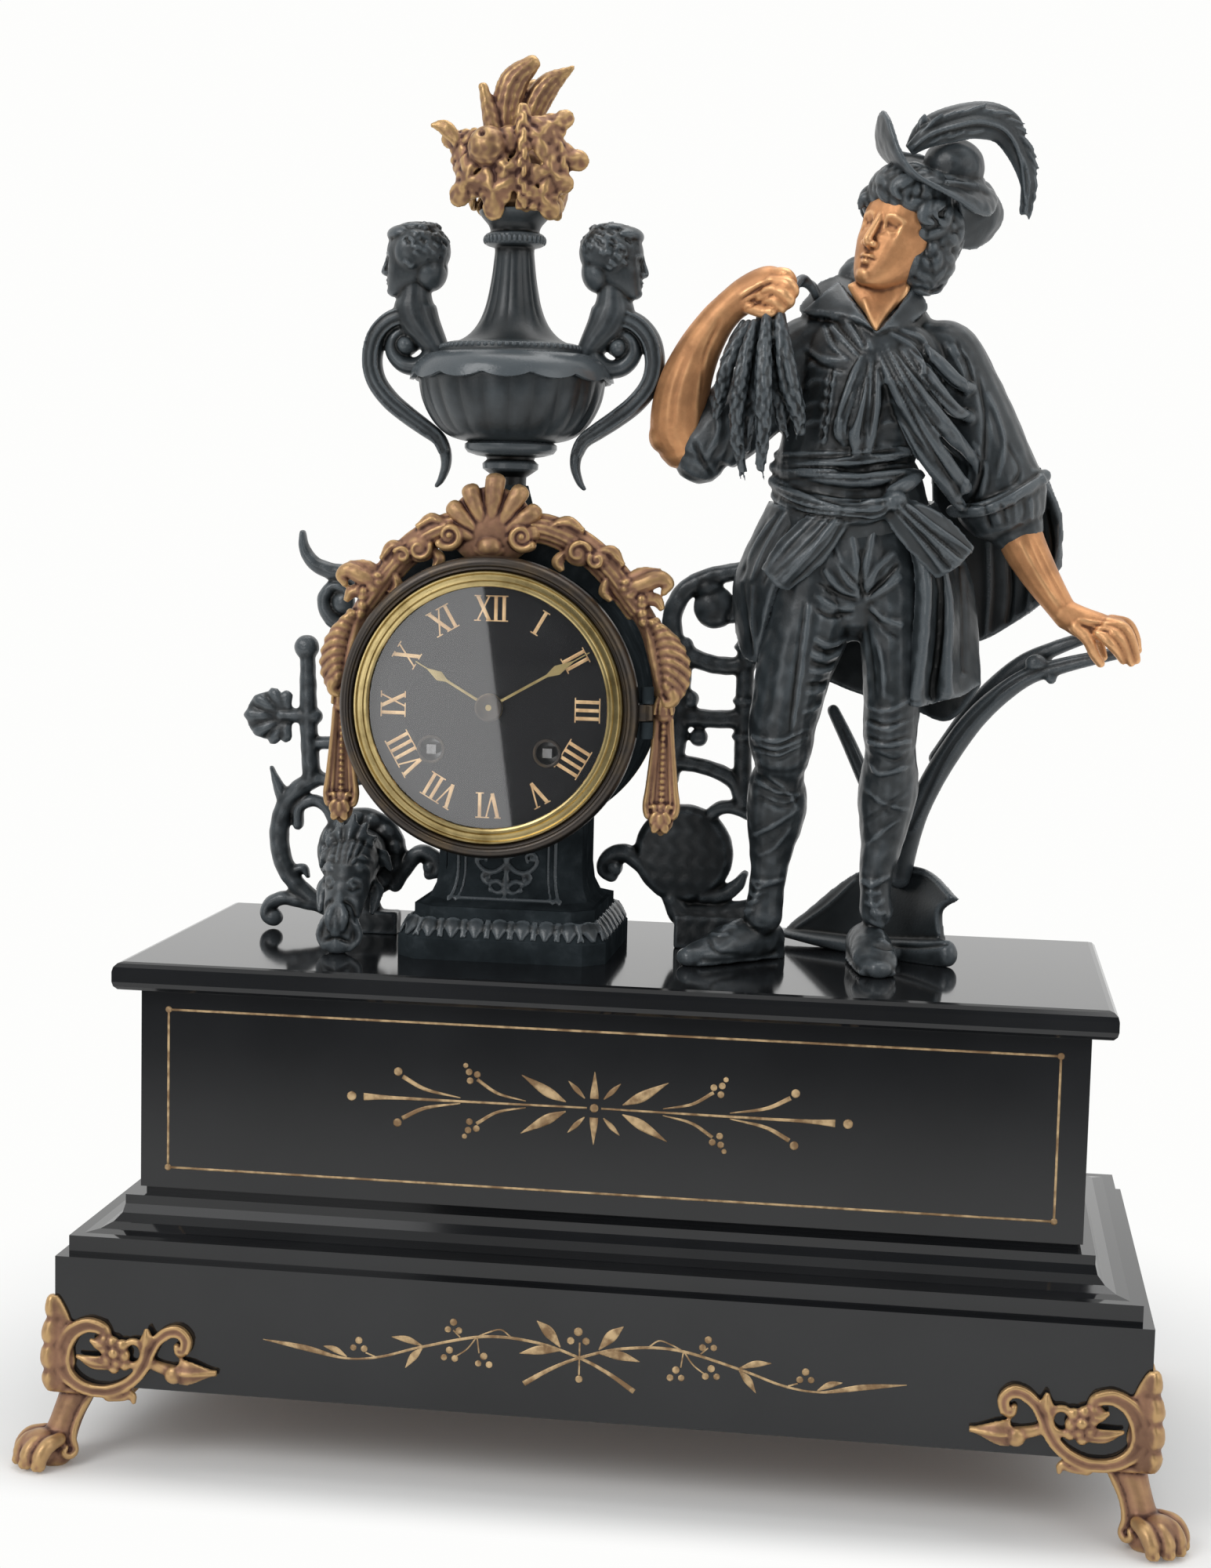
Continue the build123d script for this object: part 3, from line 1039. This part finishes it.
level_c1 = BACK_Y - 2 * WHEEL_CLEAR
level_c0 = level_c1 - WHEEL_T
level_t0 = (PLATE_BACK_Y + BACK_Y) / 2 - WHEEL_T / 2
level_t1 = level_t0 + WHEEL_T
level_e0 = great_y0 + WHEEL_T
level_e1 = level_e0 + WHEEL_T
to_centre = math.degrees(math.atan2(-G[1], -G[0]))
centre = rod_y(0, 0, ARBOR_R, minute_y1, arbor_y1)
pinion_y0 = great_y0 + BARREL_L - WHEEL_CLEAR
centre_phase = meshed(BARREL_TEETH, 0, PINION_TEETH, to_centre)
centre += gear(PINION_TEETH, BARREL_M, pinion_y0, going_y1 + WHEEL_CLEAR, 0, 0, centre_phase)
centre += gear(CENTRE_TEETH, CENTRE_M, level_c0, level_c1)
save(centre, "centre_wheel")
third = rod_y(*THIRD, ARBOR_R, arbor_y0, arbor_y1)
third_phase = meshed(CENTRE_TEETH, 0, THIRD_PINION_TEETH, THIRD_ANGLE)
third_y0 = level_c0 - WHEEL_CLEAR
third_y1 = level_c1 + WHEEL_CLEAR
third += gear(THIRD_PINION_TEETH, CENTRE_M, third_y0, third_y1, *THIRD, third_phase)
third += gear(THIRD_TEETH, THIRD_M, level_t0, level_t1, *THIRD)
save(third, "third_wheel")
escape = rod_y(*ESCAPE, ARBOR_R, arbor_y0, arbor_y1)
escape_phase = meshed(THIRD_TEETH, 0, ESCAPE_PINION_TEETH, ESCAPE_ANGLE)
escape_y0 = level_t0 - WHEEL_CLEAR
escape_y1 = level_t1 + WHEEL_CLEAR
escape += gear(ESCAPE_PINION_TEETH, THIRD_M, escape_y0, escape_y1, *ESCAPE, escape_phase)
saw = []
for k in range(ESCAPE_TEETH):
    a = 2 * math.pi * k / ESCAPE_TEETH
    saw.append((ESCAPE_R * math.cos(a), ESCAPE_R * math.sin(a)))
    b = a + math.pi / ESCAPE_TEETH
    saw.append(((ESCAPE_R - RATCHET_T) * math.cos(b), (ESCAPE_R - RATCHET_T) * math.sin(b)))
escape += flat_y(saw, level_e0, level_e1, *ESCAPE)
save(escape, "escape_wheel")
pin_phase = meshed(BARREL_TEETH, 0, PINION_TEETH, PIN_WHEEL_ANGLE)
pins = rod_y(*PINS, ARBOR_R, arbor_y0, arbor_y1)
pins += gear(PINION_TEETH, BARREL_M, great_y0, great_y0 + WHEEL_T + WHEEL_CLEAR, *PINS, pin_phase)
pins += rod_y(*PINS, PIN_WHEEL_R, level_c0, level_c1)
save(pins, "strike_pin_wheel")


def bar_y(a, b, w, y0, y1):
    """A flat bar seen from the front between two places, with round ends."""
    turn = math.atan2(b[1] - a[1], b[0] - a[0])
    ox = -math.sin(turn) * w / 2
    oz = math.cos(turn) * w / 2
    start = [(a[0] + ox, a[1] + oz), (a[0] - ox, a[1] - oz)]
    finish = [(b[0] - ox, b[1] - oz), (b[0] + ox, b[1] + oz)]
    bar = flat_y(start + finish, y0, y1)
    return bar + [rod_y(*a, w / 2, y0, y1), rod_y(*b, w / 2, y0, y1)]


# Anchor with its crutch, and the pendulum that the crutch moves with
anchor = rod_y(*ANCHOR, ARBOR_R, arbor_y0, arbor_y1)
line = math.atan2(ESCAPE[1] - ANCHOR[1], ESCAPE[0] - ANCHOR[0])
for way in (-1, 1):
    a = line + way * math.radians(ANCHOR_SPREAD)
    end = (ANCHOR[0] + ANCHOR_REACH * math.cos(a), ANCHOR[1] + ANCHOR_REACH * math.sin(a))
    anchor += bar_y(ANCHOR, end, ANCHOR_W, level_e0, level_e1)
anchor += bar_y(ANCHOR, (0, crutch_z), ANCHOR_W, level_c0, level_c1)
anchor += rod_y(0, crutch_z, CRUTCH_R, level_c0, PENDULUM_Y + ROD_T)
save(anchor, "anchor")
rod_y0 = PENDULUM_Y - ROD_T / 2
rod_y1 = PENDULUM_Y + ROD_T / 2
bob_z = ANCHOR_RISE - PENDULUM_L
pendulum = bar_y(ANCHOR, (0, bob_z), ROD_W, rod_y0, rod_y1)
pendulum += rod_y(*ANCHOR, ROD_W, rod_y0, rod_y1)
pendulum += rod_y(0, crutch_z, ROD_W, rod_y0, rod_y1)
pendulum += rod_y(0, bob_z, BOB_R, PENDULUM_Y - BOB_T / 2, PENDULUM_Y + BOB_T / 2)
pendulum -= rod_y(*ANCHOR, ARBOR_R + RUN_CLEAR, rod_y0, rod_y1)
pendulum -= rod_y(0, crutch_z, CRUTCH_R + RUN_CLEAR, rod_y0, rod_y1)
save(pendulum, "pendulum")

# Motion work and hands
cannon = gear(CANNON_TEETH, CANNON_M, level_a0, level_a1)
cannon += rod_y(0, 0, CANNON_PIPE_R, minute_y0, level_a1)
save(cannon - rod_y(0, 0, ARBOR_R + RUN_CLEAR, minute_y0, level_a1), "cannon_pinion")
minute_phase = meshed(CANNON_TEETH, 0, MINUTE_WHEEL_TEETH, 270)
minute = gear(MINUTE_WHEEL_TEETH, CANNON_M, level_a0, level_a1, *MINUTE, minute_phase)
minute += gear(HOUR_PINION_TEETH, HOUR_M, level_b0, level_a0, *MINUTE)
save(minute - rod_y(*MINUTE, MINUTE_STUD_R + RUN_CLEAR, level_b0, level_a1), "minute_wheel")
hour_phase = meshed(HOUR_PINION_TEETH, 0, HOUR_WHEEL_TEETH, 90)
hour = gear(HOUR_WHEEL_TEETH, HOUR_M, level_b0, level_b1, 0, 0, hour_phase)
hour += rod_y(0, 0, HOUR_PIPE_R, hour_y0, level_b1)
save(hour - rod_y(0, 0, CANNON_PIPE_R + RUN_CLEAR, hour_y0, level_b1), "hour_wheel")


def hand(length, hub_r, bore_r, y0, y1, turn):
    """A slim hand with a leaf near its end, pointing at a clock angle."""
    w = HAND_W / 2
    leaf = HAND_LEAF_W / 2
    tip = HAND_TIP_W / 2
    start, widest, end = [share * length for share in HAND_LEAF_shares]
    pts = [(-w, 0), (-w, start), (-leaf, widest), (-tip, end), (-tip, length)]
    pts += [(-x, z) for x, z in reversed(pts)]
    shape = flat_y(pts, y0, y1, 0, 0, turn) + rod_y(0, 0, hub_r, y0, y1)
    return shape - rod_y(0, 0, bore_r, y0, y1)


save(hand(HOUR_L, HOUR_HUB_R, HOUR_PIPE_R + SPIGOT_CLEAR, hour_y0, hand_y1, HOUR_ANGLE), "hour_hand")
long_hand = hand(MINUTE_L, MINUTE_HUB_R, CANNON_PIPE_R + SPIGOT_CLEAR, minute_y0, minute_y1, MINUTE_ANGLE)
long_hand += rod_y(0, 0, MINUTE_HUB_R, minute_y0 - HAND_T, minute_y0)
save(long_hand, "minute_hand")

dial = rod_y(0, 0, DIAL_R, DIAL_Y, DIAL_BACK_Y) - rod_y(0, 0, DIAL_CENTRE_R, DIAL_Y, DIAL_BACK_Y)
for x, z in (G, S):
    dial += rod_y(x, z, DIAL_RING_R, DIAL_Y - DIAL_RING_T, DIAL_Y)
    dial -= rod_y(x, z, DIAL_HOLE_R, DIAL_Y - DIAL_RING_T, DIAL_BACK_Y)
save(dial, "dial_plate")

# Bell and hammer behind the back plate
bell_y0 = BACK_END_Y + BELL_GAP
bell_y1 = bell_y0 + BELL_H
bell = rod_y(BELL_X, -BELL_DROP, BELL_R, bell_y0, bell_y1)
bell -= rod_y(BELL_X, -BELL_DROP, BELL_R - BELL_WALL, bell_y0, bell_y1 - BELL_WALL)
bell += rod_y(BELL_X, -BELL_DROP, BELL_POST_R, BACK_END_Y, bell_y1)
save(bell, "bell")
hammer_y0 = bell_y0 + HAMMER_T
hammer_y1 = hammer_y0 + HAMMER_T
hammer = rod_y(*HAMMER, ARBOR_R, arbor_y0, hammer_y1)
hammer += bar_y(HAMMER, (HAMMER_HEAD_X, HAMMER_HEAD_RISE), HAMMER_T, hammer_y0, hammer_y1)
hammer += rod_y(HAMMER_HEAD_X, HAMMER_HEAD_RISE, HAMMER_HEAD_R, hammer_y0 - HAMMER_T, hammer_y1 + HAMMER_T)
save(hammer, "strike_hammer")
